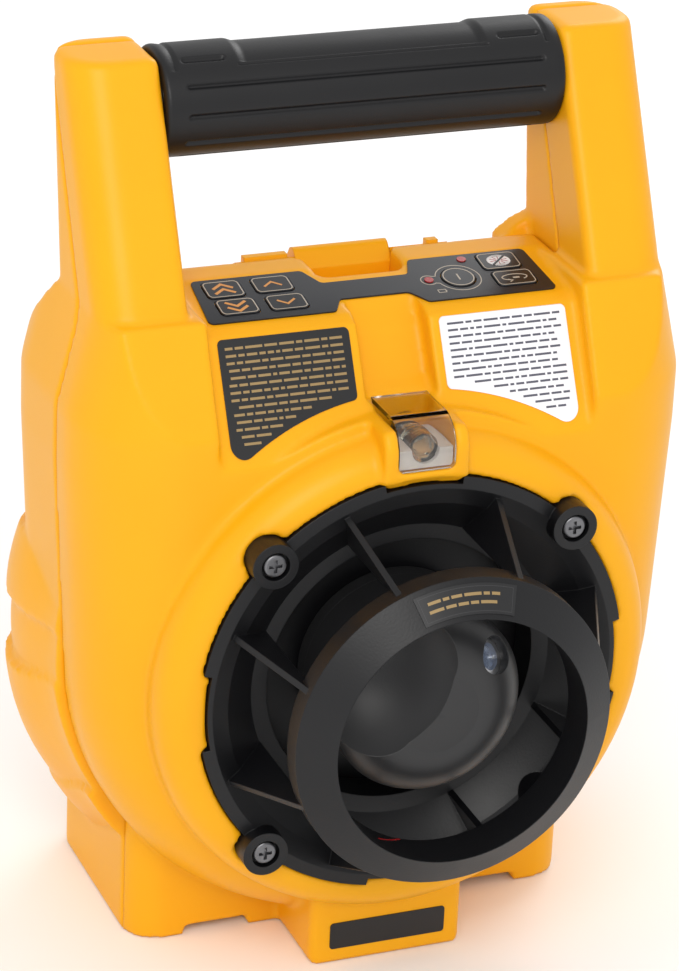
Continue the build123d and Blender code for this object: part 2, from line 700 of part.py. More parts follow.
def guard_label():
    """Blank plate on the bevel of the front ring."""
    run = hypot(RING_R - RING_OPEN_R, RING_FRONT_Y - RING_EDGE_Y)
    along = ((RING_OPEN_R - RING_R) / run, (RING_FRONT_Y - RING_EDGE_Y) / run)
    off = (-along[1] * 0.4, along[0] * 0.4)
    near = (RING_R + along[0] * 1.8, RING_EDGE_Y + along[1] * 1.8)
    far = (RING_R + along[0] * 11.2, RING_EDGE_Y + along[1] * 11.2)
    band = turned([near, far, (far[0] + off[0], far[1] + off[1]), (near[0] + off[0], near[1] + off[1])])
    return band & wedge(90, 19.5, 80, -130, -90)


# ---------------------------------------------------------------- keypad
def overlay_outline(grow):
    """Two key panels joined by a narrow bridge."""
    g = grow
    return [
        (-56, KEY_HALF + g), (-19.5, KEY_HALF + g), (-15.5, 4.2 + g), (13.5, 4.2 + g), (16.5, KEY_HALF + g),
        (56, KEY_HALF + g), (58, -KEY_HALF - g), (14.5, -KEY_HALF - g), (10, -5.8 - g), (-13, -5.8 - g),
        (-16.5, -KEY_HALF - g), (-58, -KEY_HALF - g),
    ]


def keypad_overlay():
    sheet = plate(overlay_outline(0), 0, SHEET_T, 1.9)
    for _, x, y, w, h in KEYS:
        sheet -= key_block(x, y, w, h, -1, 2, GAP)
    sheet -= Pos(POWER_KEY[0], POWER_KEY[1], 0) * Cylinder(POWER_KEY[2] + GAP, 4)
    for x, y in (STANDBY_LED, POWER_LED):
        sheet -= Pos(x, y, 0) * Cylinder(1.5 + SKIN, 4)
    return on_keypad(sheet)


def key_cap(x, y, w, h):
    cap = key_block(x, y, w, h, KEY_BOTTOM, KEY_TOP)
    cap = safe_fillet(cap, cap.faces().sort_by(Axis.Z)[-1].edges(), [0.3])
    return on_keypad(cap)


def power_key():
    x, y, r = POWER_KEY
    cap = Pos(x, y, (KEY_TOP + KEY_BOTTOM) / 2) * Cylinder(r, KEY_TOP - KEY_BOTTOM)
    cap = safe_fillet(cap, cap.faces().sort_by(Axis.Z)[-1].edges(), [0.3])
    return on_keypad(cap)


def lamp(x, y):
    return on_keypad(Pos(x, y, (SHEET_T + 0.3 + PCB_TOP) / 2) * Cylinder(1.5, SHEET_T + 0.3 - PCB_TOP))


def key_pcb():
    board = box(-54, 54, -10.6, 10.2, PCB_TOP - 1.6, PCB_TOP)
    board -= box(-18.5, 18.5, 0.6, 12, PCB_TOP - 3, PCB_TOP + 3)
    board -= box(-18.5, 18.5, -12, -4.0, PCB_TOP - 3, PCB_TOP + 3)
    return on_keypad(board)


def key_domes():
    spots = [(x, y) for _, x, y, _, _ in KEYS] + [POWER_KEY[:2]]
    height = DOME_TOP - PCB_TOP
    return group(on_keypad(Pos(x, y, PCB_TOP + height / 2) * Cone(2.6, 1.6, height)) for x, y in spots)


def face_label(side):
    """Sheet label on the sloped face: flat top, bottom edge on an arc, rounded outer corner."""
    inner_x = 15.0
    outer_x = 57.7
    top_z = 214.3
    middle = (33.0, 190.4)
    inner = (inner_x, 194.4)
    tip = (outer_x, 178.2)
    face = make_face(
        Polyline(tip, (outer_x, top_z), (inner_x, top_z), inner) + ThreePointArc(inner, middle, tip))
    face = fillet([v for v in face.vertices() if v.Y < 180], 4.2)
    face = fillet([v for v in face.vertices() if v.Y > 190], 1.6)
    sheet = extrude(Plane.XZ.offset(30) * face, 40, dir=(0, -1, 0))
    slab = side_prism([
        (label_y(216), 216), (label_y(176), 176),
        (label_y(176) - 0.4, 176), (label_y(216) - 0.4, 216)], 0, 70)
    sheet &= slab
    return sheet if side > 0 else mirror_x(sheet)


def badge_label():
    """Plain decal on the middle foot block."""
    decal = box(-20, 20, BLOCK_FRONT_Y - 0.3, BLOCK_FRONT_Y, 5, 14.5)
    return safe_fillet(decal, decal.edges().filter_by(Axis.Y), [1.2])


# ---------------------------------------------------------------- vial
def window_profile(inset):
    """Side profile of the clear cover: flat top, large round, straight front."""
    top = 193.2 - inset
    front = -74.6 + inset
    return [(-64.5, top), (-71.8, 190.0 - inset * 0.8), (front, 182.6)]


def vial_window():
    out = window_profile(0)
    inn = window_profile(WINDOW_T)
    profile = make_face(
        Line((-49.8, out[0][1]), out[0]) + ThreePointArc(*out) + Line(out[2], (out[2][0], 177.8))
        + Line((out[2][0], 177.8), (inn[2][0], 177.8)) + Line((inn[2][0], 177.8), inn[2])
        + ThreePointArc(inn[2], inn[1], inn[0]) + Line(inn[0], (-49.8, inn[0][1]))
        + Line((-49.8, inn[0][1]), (-49.8, out[0][1])))
    return Pos(-WINDOW_HALF, 0, 0) * extrude(Plane.YZ * profile, 2 * WINDOW_HALF, dir=(1, 0, 0))


def vial_rod(radius, half):
    """Rod along the vial's axis."""
    return rod_y(radius, VIAL_Y - half, VIAL_Y + half, 0, VIAL_Z)


def vial_tube():
    return vial_rod(VIAL_R, VIAL_HALF) - vial_rod(VIAL_R - 0.9, VIAL_HALF - 1)


def vial_liquid():
    bubble = rod_y(1.35, VIAL_Y - 2.6, VIAL_Y + 2.6, 0, VIAL_Z + 2.05)
    return vial_rod(VIAL_R - 0.95, VIAL_HALF - 1.05) - bubble


def vial_backing():
    """White block that the vial lies in."""
    block = box(-9, 9, -72.4, -52.0, 178.1, VIAL_Z)
    return block - vial_rod(VIAL_R + SKIN, 15)


# ---------------------------------------------------------------- rotary head and its drive
def rotor_cup():
    """Domed head with a round scoop on one side and the window port on the other."""
    dome = (
        Line((0, ROTOR_JOINT_Y), (ROTOR_R, ROTOR_JOINT_Y)) + Line((ROTOR_R, ROTOR_JOINT_Y), (ROTOR_R, -83.5))
        + ThreePointArc((ROTOR_R, -83.5), (26.3, -91.0), (13, -94.4))
        + Line((13, -94.4), (0, ROTOR_FRONT_Y)) + Line((0, ROTOR_FRONT_Y), (0, ROTOR_JOINT_Y)))
    cup = Pos(0, 0, HEAD_Z) * revolve(make_face(dome), Axis.Y, 360)
    cup -= rod_y(14, -74, ROTOR_JOINT_Y + 1)
    cup -= Pos(*SCOOP) * Sphere(SCOOP_R)
    return cup - port_place(26) * Cylinder(6.05, 38)


def port_place(reach):
    """Place on the axis of the window port, at a distance from the prism."""
    return Plane(origin=(0, -67, HEAD_Z), z_dir=PORT_AIM).location * Pos(0, 0, reach)


def aperture_barrel():
    return port_place(28.5) * (Cylinder(6.0, 7) - Cylinder(4.4, 9))


def aperture_lens():
    return port_place(29.5) * Cylinder(4.35, 1.6)


def rotor_base():
    base = turned([
        (SPINDLE_BORE_R, ROTOR_JOINT_Y), (ROTOR_R, ROTOR_JOINT_Y),
        (ROTOR_R, ROTOR_BACK_Y), (SPINDLE_BORE_R, ROTOR_BACK_Y),
    ])
    return base - rod_y(SPINDLE_R + SKIN, ROTOR_JOINT_Y + 2, ROTOR_BACK_Y + 1)


def pentaprism():
    """Five-sided prism that turns the beam by a right angle."""
    a = 7.0
    b = a * 0.41
    base = [(-a, -a), (a, -a), (a, b), (b, a), (-a, a)]
    face = make_face(Polyline(*base, close=True))
    prism = extrude(face, 6, both=True)
    return Pos(0, -67, HEAD_Z) * Rot(0, 0, 180) * prism


def rotor_spindle():
    tube = rod_y(SPINDLE_R, ROTOR_JOINT_Y + 2, SPINDLE_END_Y)
    return tube - rod_y(SPINDLE_BORE_R, -60, 0)


def pulley(radius, bore, y0, y1, x, z):
    """Flanged belt pulley."""
    flange = 1.0
    rim = radius + 2.2
    wheel = turned([
        (bore, y0), (rim, y0), (rim, y0 + flange), (radius, y0 + flange), (radius, y1 - flange),
        (rim, y1 - flange), (rim, y1), (bore, y1),
    ], x, z)
    return wheel


def drive_belt():
    """Flat belt round both pulleys, as one closed loop."""
    rise = HEAD_Z - MOTOR_Z
    lean = degrees(asin((PULLEY_R - PINION_R) / rise))

    def loop(grow):
        big = PULLEY_R + GAP + grow
        small = PINION_R + GAP + grow
        a = radians(lean)
        right_big = (big * cos(a), HEAD_Z - big * sin(a))
        right_small = (small * cos(a), MOTOR_Z - small * sin(a))
        left_big = (-right_big[0], right_big[1])
        left_small = (-right_small[0], right_small[1])
        face = make_face(
            ThreePointArc(right_big, (0, HEAD_Z + big), left_big) + Line(left_big, left_small)
            + ThreePointArc(left_small, (0, MOTOR_Z - small), right_small) + Line(right_small, right_big))
        return extrude(Plane.XZ.offset(-(BELT_Y + BELT_W / 2)) * face, BELT_W, dir=(0, -1, 0))

    return loop(BELT_T) - loop(0)


def spindle_bearings():
    rings = []
    for y in (CARRIER_Y + 0.5, HUB_END_Y - BEARING_W - 1):
        rings.append(rod_y(BEARING_R, y, y + BEARING_W) - rod_y(SPINDLE_R + SKIN, y - 1, y + BEARING_W + 1))
    return group(rings)


def bearing_carrier():
    """Plate and hub that hold the spindle bearings, the motor and the laser bracket."""
    carrier = rod_y(CARRIER_R, CARRIER_Y, CARRIER_Y + CARRIER_T) + rod_y(BEARING_R + 4, CARRIER_Y, HUB_END_Y)
    carrier -= rod_y(BEARING_R + SKIN, CARRIER_Y - 1, CARRIER_Y + 0.5 + BEARING_W)
    carrier -= rod_y(BEARING_R - 3, CARRIER_Y, HUB_END_Y + 1)
    carrier -= rod_y(BEARING_R + SKIN, HUB_END_Y - BEARING_W - 1, HUB_END_Y + 1)
    carrier -= rod_y(1.5, CARRIER_Y - 1, CARRIER_Y + CARRIER_T + 1, 0, MOTOR_Z)
    for k in range(4):
        x, _, z = polar(CARRIER_POST_R, 45 + 90 * k)
        carrier -= rod_y(1.6 + SKIN, CARRIER_Y - 1, CARRIER_Y + CARRIER_T + 1, x, z)
    return carrier


def carrier_screws():
    one = screw(3.1, 2.0, 1.6, 14)
    seat = CARRIER_Y + CARRIER_T
    return group(Pos(*polar(CARRIER_POST_R, 45 + 90 * k, seat)) * Rot(-90, 0, 0) * one for k in range(4))


def motor():
    body = rod_y(12, CARRIER_Y + CARRIER_T, -25, 0, MOTOR_Z)
    body = safe_fillet(body, body.faces().sort_by(Axis.Y)[-1].edges(), [1.5])
    return body - rod_y(1.3, -46, -20, 0, MOTOR_Z)


def motor_shaft():
    return rod_y(1.25, -44, SPINDLE_END_Y, 0, MOTOR_Z)


def laser_bracket():
    """Cross plate on two posts behind the pulley, which holds the laser module in line with the spindle."""
    bracket = box(-30, 30, -9, -6, HEAD_Z - 12, HEAD_Z + 12)
    for side in (-1, 1):
        bracket += rod_y(3, CARRIER_Y + CARRIER_T, -9, side * 26.5)
    return bracket - rod_y(9 + SKIN, -10, -5)


def laser_module():
    tube = rod_y(9, -12, 4)
    return tube - rod_y(6.5, -13, -3)


def collimator_lens():
    return rod_y(6.45, -10, -7.5)


def main_pcb():
    board = box(-44, 44, 10, 11.6, 30, 91)
    for side in (-1, 1):
        for z in (38.0, 84.0):
            board -= rod_y(1.4, 9, 12, side * 38.0, z)
    board += box(-30, -14, 7.5, 10, 60, 76)
    board += box(6, 26, 6.5, 10, 40, 50)
    return board


def pcb_screws():
    one = screw(2.6, 1.6, 1.25, 8)
    return group(
        Pos(side * 38.0, 10, z) * Rot(90, 0, 0) * one for side in (-1, 1) for z in (38.0, 84.0))


# ---------------------------------------------------------------- battery bay
def battery_tray():
    inner = 35.3
    wall = 1.5
    floor_z = CELL_BOTTOM_Z - 0.8
    top_z = CELL_BOTTOM_Z + CELL_L + 0.7
    front_y = CELL_Y - CELL_R - 0.3
    tray = box(-inner - wall, inner + wall, front_y - wall, 43.9, floor_z - wall, top_z + wall)
    tray -= box(-inner, inner, front_y, 60, floor_z, top_z)
    for side in (-1, 1):
        middle = side * (inner + wall + 2.2)
        tray += box(middle - 2.7, middle + 2.7, 43.4, 44.9, floor_z, top_z - 3)
    return tray


def battery_cells():
    cells = []
    for side in (-1, 1):
        can = rod_z(CELL_R, CELL_BOTTOM_Z, CELL_BOTTOM_Z + CELL_L - 1.5, side * CELL_X, CELL_Y)
        can = safe_fillet(can, can.edges(), [1.2])
        top_z = CELL_BOTTOM_Z + CELL_L
        cells.append(can + rod_z(4.6, top_z - 2, top_z, side * CELL_X, CELL_Y))
    return group(cells)


def battery_contacts():
    low = CELL_BOTTOM_Z - 0.75
    high = CELL_BOTTOM_Z + CELL_L + 0.05
    strips = [box(-26, 26, 20, 32, low, low + 0.6)]
    strips += [box(side * CELL_X - 7, side * CELL_X + 7, 20, 32, high, high + 0.6) for side in (-1, 1)]
    return group(strips)


# ---------------------------------------------------------------- inserts and fasteners
def tripod_insert(place):
    """Threaded metal insert: flange side at z = 0, thread bore along +Z."""
    body = Pos(0, 0, (THREAD_L + 1.5) / 2) * Cylinder(INSERT_R, THREAD_L + 1.5)
    body -= Pos(0, 0, (THREAD_L + 1.5) / 2) * (Cylinder(INSERT_R + 2, 4) - Cylinder(INSERT_R - 1.2, 4))
    return place * (body - Pos(0, 0, (THREAD_L + 1.5) / 2) * Cylinder(THREAD_R, THREAD_L + 5))


def hinge_pin():
    return rod_x(PIN_R, -DOOR_HALF - 0.5, DOOR_HALF + 0.5, HINGE_Y, HINGE_Z)


def housing_screws():
    screws = []
    for x, z, seat, _, depth in screw_places():
        one = screw(4.2, 2.6, 2.2, seat - depth + 12)
        screws.append(Pos(x, seat, z) * Rot(-90, 0, 0) * one)
    return group(screws)


# ---------------------------------------------------------------- assembly
def build_parts():
    outer = outer_form()
    shell = housing_shell(outer)
    parts = {
        "front_housing": front_housing(shell),
        "rear_housing": rear_housing(shell),
        "handle_core": handle_core(),
        "handle_grip": handle_grip(),
        "head_guard": head_guard(),
        "guard_screws": guard_screws(),
        "guard_label": guard_label(),
        "keypad_overlay": keypad_overlay(),
        "standby_led": lamp(*STANDBY_LED),
        "power_led": lamp(*POWER_LED),
        "key_pcb": key_pcb(),
        "key_domes": key_domes(),
        "label_left": face_label(-1),
        "label_right": face_label(1),
        "badge_label": badge_label(),
        "vial_window": vial_window(),
        "vial_tube": vial_tube(),
        "vial_liquid": vial_liquid(),
        "vial_backing": vial_backing(),
        "spindle_bearings": spindle_bearings(),
        "bearing_carrier": bearing_carrier(),
        "carrier_screws": carrier_screws(),
        "motor": motor(),
        "motor_shaft": motor_shaft(),
        "motor_pulley": pulley(PINION_R, 1.25, BELT_Y - 3.8, BELT_Y + 3.8, 0, MOTOR_Z),
        "drive_belt": drive_belt(),
        "laser_bracket": laser_bracket(),
        "laser_module": laser_module(),
        "collimator_lens": collimator_lens(),
        "main_pcb": main_pcb(),
        "pcb_screws": pcb_screws(),
        "battery_tray": battery_tray(),
        "battery_cells": battery_cells(),
        "battery_contacts": battery_contacts(),
        "battery_door": battery_door(shell),
        "door_latch": door_latch(),
        "latch_spring": latch_spring(),
        "hinge_pin": hinge_pin(),
        "tripod_insert_bottom": tripod_insert(Pos(0, 0, 0)),
        "tripod_insert_back": tripod_insert(Pos(0, BACK_Y, BACK_THREAD_Z) * Rot(90, 0, 0)),
        "housing_screws": housing_screws(),
        "rotor_cup": rotor_cup(),
        "rotor_base": rotor_base(),
        "aperture_barrel": aperture_barrel(),
        "aperture_lens": aperture_lens(),
        "pentaprism": pentaprism(),
        "rotor_spindle": rotor_spindle(),
        "rotor_pulley": pulley(PULLEY_R, SPINDLE_R + SKIN / 2, BELT_Y - 3.8, BELT_Y + 3.8, 0, HEAD_Z),
        "key_power": power_key(),
    }
    for name, x, y, w, h in KEYS:
        parts[name] = key_cap(x, y, w, h)
    return parts


if __name__ == "__main__":
    os.makedirs("parts", exist_ok=True)
    for name, shape in build_parts().items():
        export_step(shape, f"parts/{name}.step")
        print(name, len(shape.solids()), round(shape.volume), shape.is_valid)
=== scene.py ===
"""Looks of the rotating laser level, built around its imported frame."""
import json
import math

import bmesh
import bpy
from mathutils import Matrix, Vector

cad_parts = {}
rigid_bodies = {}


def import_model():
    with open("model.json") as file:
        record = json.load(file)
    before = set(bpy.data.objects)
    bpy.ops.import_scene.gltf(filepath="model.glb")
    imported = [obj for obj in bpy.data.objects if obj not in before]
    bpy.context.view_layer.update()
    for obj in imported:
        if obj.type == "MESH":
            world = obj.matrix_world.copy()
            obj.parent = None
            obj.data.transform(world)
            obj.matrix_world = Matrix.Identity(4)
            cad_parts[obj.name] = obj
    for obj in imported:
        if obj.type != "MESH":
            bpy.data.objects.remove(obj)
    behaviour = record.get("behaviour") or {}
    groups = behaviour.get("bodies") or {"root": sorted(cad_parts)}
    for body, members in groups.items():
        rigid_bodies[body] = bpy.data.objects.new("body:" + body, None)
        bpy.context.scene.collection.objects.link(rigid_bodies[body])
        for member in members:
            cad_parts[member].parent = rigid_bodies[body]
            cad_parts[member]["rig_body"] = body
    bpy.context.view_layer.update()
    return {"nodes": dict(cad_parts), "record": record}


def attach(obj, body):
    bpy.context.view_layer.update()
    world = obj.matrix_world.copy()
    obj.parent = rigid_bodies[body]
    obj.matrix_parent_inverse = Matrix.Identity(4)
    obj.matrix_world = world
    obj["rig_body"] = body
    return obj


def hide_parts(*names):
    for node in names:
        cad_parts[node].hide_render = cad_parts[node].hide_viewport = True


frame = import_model()
MM = 0.001                 # metres in a millimetre


# ---------------------------------------------------------------- camera, light and floor
CAMERA_TURN = (-22.3106, 24.1263, 2.4936)    # azimuth, elevation and roll, degrees
CAMERA_TARGET = Vector((0.00168, 0, 0.1407))
CAMERA_DISTANCE = 1.23097
CAMERA_LENS = 140.278
CAMERA_SHIFT = (0.00084, -0.00095)
SENSOR_HEIGHT = 36
FLOOR_HALF = 6.0
FLOOR_DROP = 0.0004        # keeps the floor just under the feet
WORLD_STRENGTH = 0.86
LIGHT_TARGET = (0, 0, 0.15)
LIGHTS = {                 # place, size, power and colour
    "key": ((-0.45, -1.15, 1.1), (0.7, 0.7), 10, (1.0, 0.98, 0.95)),
    "side": ((-1.3, 0.1, 0.5), (0.5, 1.0), 0.4, (1, 1, 1)),
    "rim": ((0.9, 0.9, 0.9), (0.6, 0.6), 4, (1, 1, 1)),
}


def look_matrix(azimuth, elevation, roll, target, distance):
    """Camera matrix that looks at the target from an azimuth and an elevation, in degrees."""
    az, el, ro = (math.radians(v) for v in (azimuth, elevation, roll))
    back = Vector((math.sin(az) * math.cos(el), -math.cos(az) * math.cos(el), math.sin(el)))
    right = Vector((math.cos(az), math.sin(az), 0))
    up = back.cross(right)
    side = right * math.cos(ro) + up * math.sin(ro)
    top = -right * math.sin(ro) + up * math.cos(ro)
    matrix = Matrix((side, top, back)).transposed().to_4x4()
    matrix.translation = target + back * distance
    return matrix


def make_camera():
    data = bpy.data.cameras.new("camera")
    data.sensor_fit = "VERTICAL"
    data.sensor_height = SENSOR_HEIGHT
    data.lens = CAMERA_LENS
    data.shift_x, data.shift_y = CAMERA_SHIFT
    data.clip_end = 20
    camera = bpy.data.objects.new("camera", data)
    bpy.context.collection.objects.link(camera)
    camera.matrix_world = look_matrix(*CAMERA_TURN, CAMERA_TARGET, CAMERA_DISTANCE)
    bpy.context.scene.camera = camera


def area_light(name, place, size, power, color):
    data = bpy.data.lights.new(name, "AREA")
    data.shape = "RECTANGLE"
    data.size, data.size_y = size
    data.energy = power
    data.color = color
    light = bpy.data.objects.new(name, data)
    bpy.context.collection.objects.link(light)
    light.location = place
    light.rotation_euler = (Vector(LIGHT_TARGET) - Vector(place)).to_track_quat("-Z", "Y").to_euler()


def make_stage():
    """Pale floor, pale surroundings and soft studio light."""
    mesh = bpy.data.meshes.new("floor")
    corners = [(FLOOR_HALF * x, FLOOR_HALF * y, 0) for x, y in ((-1, -1), (1, -1), (1, 1), (-1, 1))]
    mesh.from_pydata(corners, [], [(0, 1, 2, 3)])
    floor = bpy.data.objects.new("floor", mesh)
    bpy.context.collection.objects.link(floor)
    floor.location.z = -FLOOR_DROP
    mat = bpy.data.materials.new("floor")
    mat.use_nodes = True
    shader = mat.node_tree.nodes["Principled BSDF"]
    shader.inputs["Base Color"].default_value = (0.97, 0.97, 0.97, 1)
    shader.inputs["Roughness"].default_value = 0.8
    mesh.materials.append(mat)

    world = bpy.data.worlds.new("world")
    bpy.context.scene.world = world
    world.use_nodes = True
    world.node_tree.nodes["Background"].inputs["Color"].default_value = (1.0, 1.0, 1.0, 1)
    world.node_tree.nodes["Background"].inputs["Strength"].default_value = WORLD_STRENGTH

    for name, setup in LIGHTS.items():
        area_light(name, *setup)
    bpy.context.scene.view_settings.view_transform = "Standard"


# ---------------------------------------------------------------- materials
def new_material(name, color, roughness, metallic=0.0, **sockets):
    mat = bpy.data.materials.new(name)
    mat.use_nodes = True
    shader = mat.node_tree.nodes["Principled BSDF"]
    shader.inputs["Base Color"].default_value = (*color, 1)
    shader.inputs["Roughness"].default_value = roughness
    shader.inputs["Metallic"].default_value = metallic
    for key, value in sockets.items():
        shader.inputs[key.replace("_", " ")].default_value = value
    return mat


def link(mat, out_node, out_name, in_node, in_name):
    mat.node_tree.links.new(out_node.outputs[out_name], in_node.inputs[in_name])


def noise(mat, scale, detail, stretch=None):
    """Noise in the object's own metres; stretch scales its axes."""
    nodes = mat.node_tree.nodes
    coords = nodes.new("ShaderNodeTexCoord")
    tex = nodes.new("ShaderNodeTexNoise")
    tex.inputs["Scale"].default_value = scale
    tex.inputs["Detail"].default_value = detail
    if stretch:
        mapping = nodes.new("ShaderNodeMapping")
        mapping.inputs["Scale"].default_value = stretch
        link(mat, coords, "Object", mapping, "Vector")
        link(mat, mapping, "Vector", tex, "Vector")
    else:
        link(mat, coords, "Object", tex, "Vector")
    return tex


def vary_color(mat, tex, low, high):
    """Colour that drifts between two tones."""
    ramp = mat.node_tree.nodes.new("ShaderNodeValToRGB")
    ramp.color_ramp.elements[0].position = 0.35
    ramp.color_ramp.elements[0].color = (*low, 1)
    ramp.color_ramp.elements[1].position = 0.65
    ramp.color_ramp.elements[1].color = (*high, 1)
    link(mat, tex, "Fac", ramp, "Fac")
    link(mat, ramp, "Color", mat.node_tree.nodes["Principled BSDF"], "Base Color")


def vary_roughness(mat, tex, low, high):
    """Roughness that drifts between two values."""
    ranger = mat.node_tree.nodes.new("ShaderNodeMapRange")
    ranger.inputs["To Min"].default_value = low
    ranger.inputs["To Max"].default_value = high
    link(mat, tex, "Fac", ranger, "Value")
    link(mat, ranger, "Result", mat.node_tree.nodes["Principled BSDF"], "Roughness")


def add_bump(mat, tex, strength, depth, edge=0.0):
    """Fine surface grain, with edges rounded by the given radius in metres."""
    nodes = mat.node_tree.nodes
    bump = nodes.new("ShaderNodeBump")
    bump.inputs["Strength"].default_value = strength
    bump.inputs["Distance"].default_value = depth
    link(mat, tex, "Fac", bump, "Height")
    if edge:
        bevel = nodes.new("ShaderNodeBevel")
        bevel.samples = 6
        bevel.inputs["Radius"].default_value = edge
        link(mat, bevel, "Normal", bump, "Normal")
    link(mat, bump, "Normal", nodes["Principled BSDF"], "Normal")


def plastic(name, color, drift, rough, grain, strength, edge, **sockets):
    """Moulded plastic: slow colour drift, mottled gloss and a fine spark grain."""
    mat = new_material(name, color, rough[0], **sockets)
    slow = noise(mat, 14, 3)
    low = tuple(c * (1 - drift) for c in color)
    high = tuple(min(1, c * (1 + drift)) for c in color)
    vary_color(mat, slow, low, high)
    vary_roughness(mat, noise(mat, 60, 5), *rough)
    add_bump(mat, noise(mat, grain, 2), strength, 0.00012, edge)
    return mat


def metal(name, color, rough, stretch):
    """Bare metal with fine grain, drawn out where it was turned."""
    mat = new_material(name, color, rough[0], 1.0)
    tex = noise(mat, 300, 3, stretch)
    vary_roughness(mat, tex, *rough)
    vary_color(mat, tex, tuple(c * 0.85 for c in color), color)
    add_bump(mat, tex, 0.08, 0.00005)
    return mat


def clear(name, color, rough, transmission, ior):
    """Clear plastic, glass or fluid."""
    mat = new_material(name, color, rough, Transmission_Weight=transmission, IOR=ior)
    vary_roughness(mat, noise(mat, 120, 2), rough, rough + 0.04)
    return mat


BLACK_SHEEN = {"Specular_IOR_Level": 0.38}
SHELL_SHEEN = {"Specular_IOR_Level": 0.22, "Subsurface_Weight": 0.04}
PLASTICS = {               # colour, drift, lowest and highest roughness, grain, grain strength, edge
    "yellow_shell": ((0.88, 0.39, 0.005), 0.02, (0.34, 0.42), 1400, 0.10, 0.0009),
    "black_plastic": ((0.004, 0.004, 0.005), 0.1, (0.36, 0.46), 1200, 0.25, 0.0005),
    "rotor_plastic": ((0.016, 0.016, 0.017), 0.1, (0.36, 0.44), 1400, 0.2, 0.0004),
    "grip_rubber": ((0.004, 0.004, 0.005), 0.1, (0.40, 0.50), 1600, 0.3, 0.0003),
    "keypad_film": ((0.007, 0.008, 0.012), 0.08, (0.30, 0.36), 2200, 0.15, 0.0002),
    "key_film": ((0.006, 0.007, 0.010), 0.08, (0.26, 0.34), 2200, 0.15, 0.0003),
    "label_dark": ((0.006, 0.006, 0.007), 0.08, (0.34, 0.42), 2200, 0.1, 0.0001),
    "label_light": ((0.83, 0.83, 0.86), 0.01, (0.25, 0.32), 2200, 0.05, 0.0001),
    "guard_film": ((0.008, 0.008, 0.009), 0.08, (0.34, 0.42), 2200, 0.1, 0.0001),
    "lamp_red": ((0.35, 0.012, 0.014), 0.05, (0.15, 0.25), 800, 0.05, 0.0002),
    "circuit_board": ((0.012, 0.11, 0.035), 0.2, (0.3, 0.5), 500, 0.3, 0.0001),
    "white_plastic": ((0.72, 0.72, 0.74), 0.02, (0.3, 0.4), 900, 0.05, 0.0001),
    "belt_rubber": ((0.015, 0.015, 0.015), 0.1, (0.6, 0.8), 1500, 0.4, 0.0001),
    "cell_jacket": ((0.05, 0.05, 0.06), 0.1, (0.2, 0.3), 500, 0.05, 0.0002),
    "print_silver": ((0.46, 0.40, 0.32), 0.05, (0.35, 0.5), 2500, 0.1, 0),
    "print_orange": ((0.62, 0.27, 0.06), 0.05, (0.35, 0.5), 2500, 0.1, 0),
    "print_tan": ((0.30, 0.20, 0.08), 0.08, (0.4, 0.55), 2500, 0.1, 0),
    "print_dark": ((0.09, 0.09, 0.12), 0.08, (0.4, 0.55), 2500, 0.1, 0),
    "print_grey": ((0.03, 0.03, 0.032), 0.08, (0.4, 0.55), 2500, 0.1, 0),
    "print_white": ((0.80, 0.78, 0.78), 0.03, (0.35, 0.45), 2500, 0.1, 0),
}
EXTRA_SOCKETS = {
    "yellow_shell": SHELL_SHEEN,
    "black_plastic": BLACK_SHEEN,
    "grip_rubber": BLACK_SHEEN,
    "lamp_red": {"Coat_Weight": 0.5},
}
METALS = {                 # colour, lowest and highest roughness, stretch of the grain
    "screw_steel": ((0.20, 0.20, 0.21), (0.30, 0.50), (1, 1, 1)),
    "machined_steel": ((0.58, 0.58, 0.60), (0.2, 0.35), (1, 30, 1)),
    "bearing_steel": ((0.65, 0.65, 0.68), (0.1, 0.2), (1, 1, 1)),
    "aluminium": ((0.72, 0.72, 0.74), (0.25, 0.4), (1, 20, 1)),
    "motor_can": ((0.30, 0.30, 0.32), (0.3, 0.45), (1, 1, 1)),
    "contact_brass": ((0.65, 0.45, 0.2), (0.2, 0.4), (1, 1, 1)),
}
CLEARS = {                 # colour, roughness, transmission, index of refraction
    "clear_plastic": ((0.96, 0.93, 0.88), 0.02, 1.0, 1.46),
    "vial_glass": ((0.97, 0.98, 0.97), 0.01, 1.0, 1.46),
    "vial_fluid": ((0.93, 0.95, 0.86), 0.0, 1.0, 1.36),
    "lens_glass": ((0.45, 0.55, 0.75), 0.02, 0.7, 1.46),
}


def make_materials():
    made = {name: plastic(name, *look, **EXTRA_SOCKETS.get(name, {})) for name, look in PLASTICS.items()}
    made.update({name: metal(name, *look) for name, look in METALS.items()})
    made.update({name: clear(name, *look) for name, look in CLEARS.items()})
    return made


def dress_nodes(materials):
    """Give every CAD node the material of its slot, on its object's own material slots."""
    for entry in frame["record"]["subparts"]:
        piece = frame["nodes"][entry["node"]]
        for slot in piece.material_slots:
            slot.link = "OBJECT"
            slot.material = materials[entry["material_slot"]]


# ---------------------------------------------------------------- building pieces
def new_piece(name, verts, faces, body, slot, smooth=True):
    """Mesh piece from points in metres, riding on a body and finished with a slot's material."""
    mesh = bpy.data.meshes.new(name)
    mesh.from_pydata([tuple(v) for v in verts], [], faces)
    mesh.validate()
    build = bmesh.new()
    build.from_mesh(mesh)
    bmesh.ops.recalc_face_normals(build, faces=build.faces)
    build.to_mesh(mesh)
    build.free()
    mesh.polygons.foreach_set("use_smooth", [smooth] * len(mesh.polygons))
    piece = bpy.data.objects.new(name, mesh)
    bpy.context.collection.objects.link(piece)
    mesh.materials.append(MATERIALS[slot])
    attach(piece, body)
    return piece


